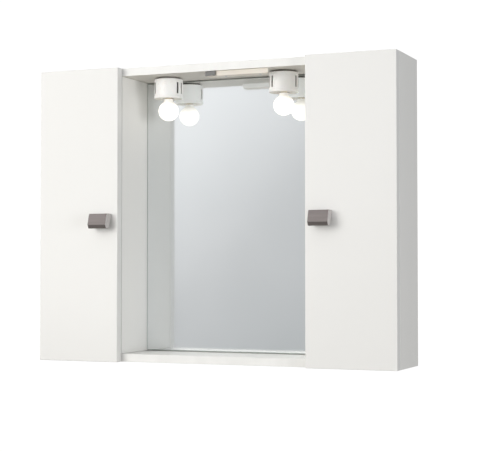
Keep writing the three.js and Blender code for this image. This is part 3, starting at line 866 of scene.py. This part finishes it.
def finish_hinges():
    for hand, sign in HANDS.items():
        for level, height in HINGE_HEIGHTS.items():
            hinge = f"{hand}_{level}_hinge"
            for part in ("plate", "arm", "link"):
                node = f"{hinge}_{part}"
                stand_in(node, eased_solid(node, 0.35 * MM), "nickel_steel")
            stand_in(f"{hinge}_cup", hinge_cup(sign, height), "nickel_steel")
            for part, pivot, half_length in PINS:
                place = pointing(UP, at_hinge(sign, *pivot, height))
                solid = placed(pin(PIN_RADIUS, half_length), place)
                stand_in(f"{hinge}_{part}", solid, "zinc_steel")
            finish_hinge_screws(hinge, f"{hand}_door_leaf", sign, height)


HANGER_X = 350.7
HANGER_FRONT = -30
HANGER_SCREW_HEIGHTS = (243.5, 272.5)


def finish_hangers():
    for hand, sign in HANDS.items():
        node = f"{hand}_hanger_housing"
        stand_in(node, eased_solid(node, 0.9 * MM, 3), "white_plastic")
        node = f"{hand}_hanger_hook"
        stand_in(node, eased_solid(node, 0.3 * MM), "zinc_steel")
        places = [(sign * HANGER_X, HANGER_FRONT, z) for z in HANGER_SCREW_HEIGHTS]
        spots = [pointing(FRONT, place, 0.4) for place in places]
        mesh = finish_mesh("hanger_screws", repeated(screw_head(4.4, 1.2), spots))
        new_piece(f"{hand}_hanger_screws", mesh, "carcass", "zinc_steel")


# ---- lamps ---------------------------------------------------------------------------------------
# Heights are below the underside of the top board.

LAMP_X = 128
LAMP_Y = -62
LAMP_TURNS = {"left": 11, "right": 23}  # degrees that each lamp's front is turned to the right
SLOT_ANGLES = (-78.5, -54.5, 54.5, 78.5)
GLOBE_RADIUS = 20.8
GLOBE_CENTRE = -68


def lamp_frame(hand):
    turn = Matrix.Rotation(math.radians(LAMP_TURNS[hand]), 4, "Z")
    place = Matrix.Translation((HANDS[hand] * LAMP_X, LAMP_Y, BOARD_INSIDE))
    return Matrix.Scale(MM, 4) @ place @ turn


def lamp_housing():
    """A thin moulded cup with a rolled lower rim and four tall vents in its sides.

    The vents and the inside take the piece's second material, a darker tone as painted shade, and
    the rim's underside the third, the socket's tone used as painted shade.
    """
    shell = lathe([
        (27.2, -5.4), (27.2, -40.4), *arc((26.6, -40.4), 0.6, 0, -90, 3), (14.5, -41.0),
        (14.5, -42.6), (14.9, -43.0), (28.2, -43.0), *arc((28.6, -41.6), 1.4, -90, 0, 6),
        *arc((28.8, -39.4), 1.2, 0, 40, 3), (29.25, -38.2), (29.2, -37.8), (29.2, -4.4),
        *arc((28.2, -4.4), 1.0, 0, 90, 4), (17, -3.4), (17, -5.4),
    ], 96)
    slots = []
    for degrees in SLOT_ANGLES:
        slot = rounded_box(Vector((4.2, 8, 23)), 0.8, 2)
        slot = placed(slot, Matrix.Translation((0, -28.2, -22.5)))
        slots.append(placed(slot, Matrix.Rotation(math.radians(degrees), 4, "Z")))
    shell = subtracted(shell, gathered(*slots))
    for face in shell.faces:
        middle = face.calc_center_median()
        across = Vector((middle.x, middle.y, 0))
        in_slot = 27.3 < across.length < 29.1 and -35 < middle.z < -10
        # Vents and inside: painted shade.
        if in_slot or (middle.z > -40 and across.length < 27.3):
            face.material_index = 1
        # The rim's underside: painted shade.
        elif face.normal.z < -0.7 and middle.z < -42 and across.length < 28.3:
            face.material_index = 2
    return shell


def lamp_base():
    """The spacer between board and housing, with the plug that carries the socket."""
    return lathe([
        (4, -0.3), (23.7, -0.3), (24, -0.6), (24, -3.0), (23.8, -3.1), (16.4, -3.1), (16.4, -6.4),
        (16.1, -6.7), (4, -6.7),
    ], 64)


def bulb_socket():
    """A ceramic holder with a grooved barrel and a rounded mouth."""
    return lathe([
        (0, -7), (13.1, -7), (13.5, -7.4), (13.5, -30.0), (13.1, -30.4), (13.1, -31.0),
        (13.5, -31.4), (13.5, -33.4), (13.1, -33.8), (13.1, -34.4), (13.5, -34.8), (13.5, -39.0),
        *arc((12.7, -39.2), 0.8, 0, -90, 4), (9.2, -40.0), *arc((9.2, -39.0), 1.0, -90, -180, 4),
        (8.2, -16.2), (0, -16.2),
    ], 64)


def bulb_cap():
    """A rolled screw shell, with its solder contact at the top."""
    threads = []
    for k in range(7):
        z = -24.2 - 2.7 * k
        threads += [(6.5, z), (7.0, z - 0.7), (7.0, z - 1.3), (6.5, z - 2.0)]
    shell = lathe([(0, -23), (5.6, -23), (6.4, -23.4), *threads, (6.9, -43.1), (0, -43.2)], 48)
    contact = lathe([
        (0, -20.0), (1.8, -20.1), (2.7, -20.6), (3.0, -21.4), (3.0, -23.4), (0, -23.4),
    ], 32)
    return gathered(shell, contact)


def bulb_globe():
    """A golf-ball bulb: a blown globe drawn in to a short neck."""
    globe = arc((0, GLOBE_CENTRE), GLOBE_RADIUS, -90, 57, 40)
    bottom = (0, GLOBE_CENTRE - GLOBE_RADIUS)
    fillet = [(10.4, -49.8), (9.7, -48.9), (9.2, -47.9), (8.8, -46.6), (8.62, -45.2), (8.6, -43.8)]
    return lathe([bottom, *globe[1:], *fillet, (8.3, -43.5), (0, -43.5)], 96)


def finish_lamps():
    for hand in HANDS:
        place = lamp_frame(hand)
        for part, solid, finish, slot in (
            # The spacer is dark grey as painted shade in the gap above the housing.
            ("lamp_base", lamp_base(), "painted_shade_grey_plastic", "lamp_plastic"),
            ("lamp_housing", lamp_housing(), "lamp_shell", "lamp_plastic"),
            ("bulb_socket", bulb_socket(), "insulator", "lamp_insulator"),
            ("bulb_cap", bulb_cap(), "brass", "bulb_brass"),
            ("bulb_globe", bulb_globe(), "lit_opal", "opal_glass"),
        ):
            piece = stand_in(f"{hand}_{part}", placed(solid, place), finish)
            if part == "lamp_housing":
                # Darker tones as painted shade: the second for the vents and inside, the third for
                # the rim's underside.
                piece.data.materials.append(FINISH["painted_shade_plastic"])
                piece.data.materials.append(FINISH["insulator"])


# ---- switch box and leads ------------------------------------------------------------------------

LEAD_ENTRIES = {"left": 24, "right": 56}
ENTRY_Y = -102
LEAD_HEIGHT = 296.2
LEAD_RADIUS = 2.2
LEAD_BEND = 5
CLIP_HEIGHT = 299.3
CLIP_REACH = 28  # from the middle of a lead's run along the board
BOX_SCREWS = ((22, -107, 274), (96, -107, 274))


def finish_switch_box():
    stand_in("switch_box", eased_solid("switch_box", 0.5 * MM), "ivory_plastic")
    rocker = eased_solid("switch_rocker", 0.4 * MM)
    stand_in("switch_rocker", rocker, "dark_plastic")
    spots = [pointing(DOWN, place, 0.4) for place in BOX_SCREWS]
    mesh = finish_mesh("box_screws", repeated(screw_head(2.6, 0.7), spots))
    new_piece("switch_box_screws", mesh, "carcass", "zinc_steel")


def finish_leads():
    for hand, sign in HANDS.items():
        entry = LEAD_ENTRIES[hand]
        route = [
            (sign * LAMP_X, LAMP_Y, BOARD_INSIDE - 6.7),
            (sign * LAMP_X, LAMP_Y, LEAD_HEIGHT),
            (entry, LAMP_Y, LEAD_HEIGHT),
            (entry, ENTRY_Y, LEAD_HEIGHT),
            (entry, ENTRY_Y, 278),
        ]
        lead = placed(swept(route, LEAD_RADIUS, LEAD_BEND, 20), Matrix.Scale(MM, 4))
        stand_in(f"{hand}_lamp_lead", lead, "lead_sheath")
        clip = rounded_box(Vector((6, 8.4, 0.8)), 0.3, 2)
        middle = (sign * LAMP_X + entry) / 2
        places = [(middle + dx, LAMP_Y, CLIP_HEIGHT) for dx in (-CLIP_REACH, CLIP_REACH)]
        spots = [pointing(UP, place) for place in places]
        mesh = finish_mesh("lead_clips", repeated(clip, spots))
        new_piece(f"{hand}_lead_clips", mesh, "carcass", "zinc_steel")


def make_floor():
    bm = bmesh.new()
    bmesh.ops.create_grid(bm, x_segments=2, y_segments=2, size=3.2)
    mesh = finish_mesh("floor", bm)
    mesh.materials.append(FINISH["floor_paint"])
    floor = bpy.data.objects.new("floor", mesh)
    floor.location.z = FLOOR_HEIGHT
    bpy.context.scene.collection.objects.link(floor)


make_camera()
studio_world()
softbox("key", KEY_DIRECTION, distance=2.8, radius=0.9, strength=5.0, color=(1.0, 0.99, 0.965))
area_light("fill", FILL_DIRECTION, distance=3.0, size=1.4, power=28, color=(0.96, 0.975, 1.0))
bpy.context.scene.view_settings.view_transform = "Standard"
make_floor()
finish_carcass()
finish_pins_and_cams()
finish_doors()
finish_mirror()
finish_hinges()
finish_hangers()
finish_lamps()
finish_switch_box()
finish_leads()
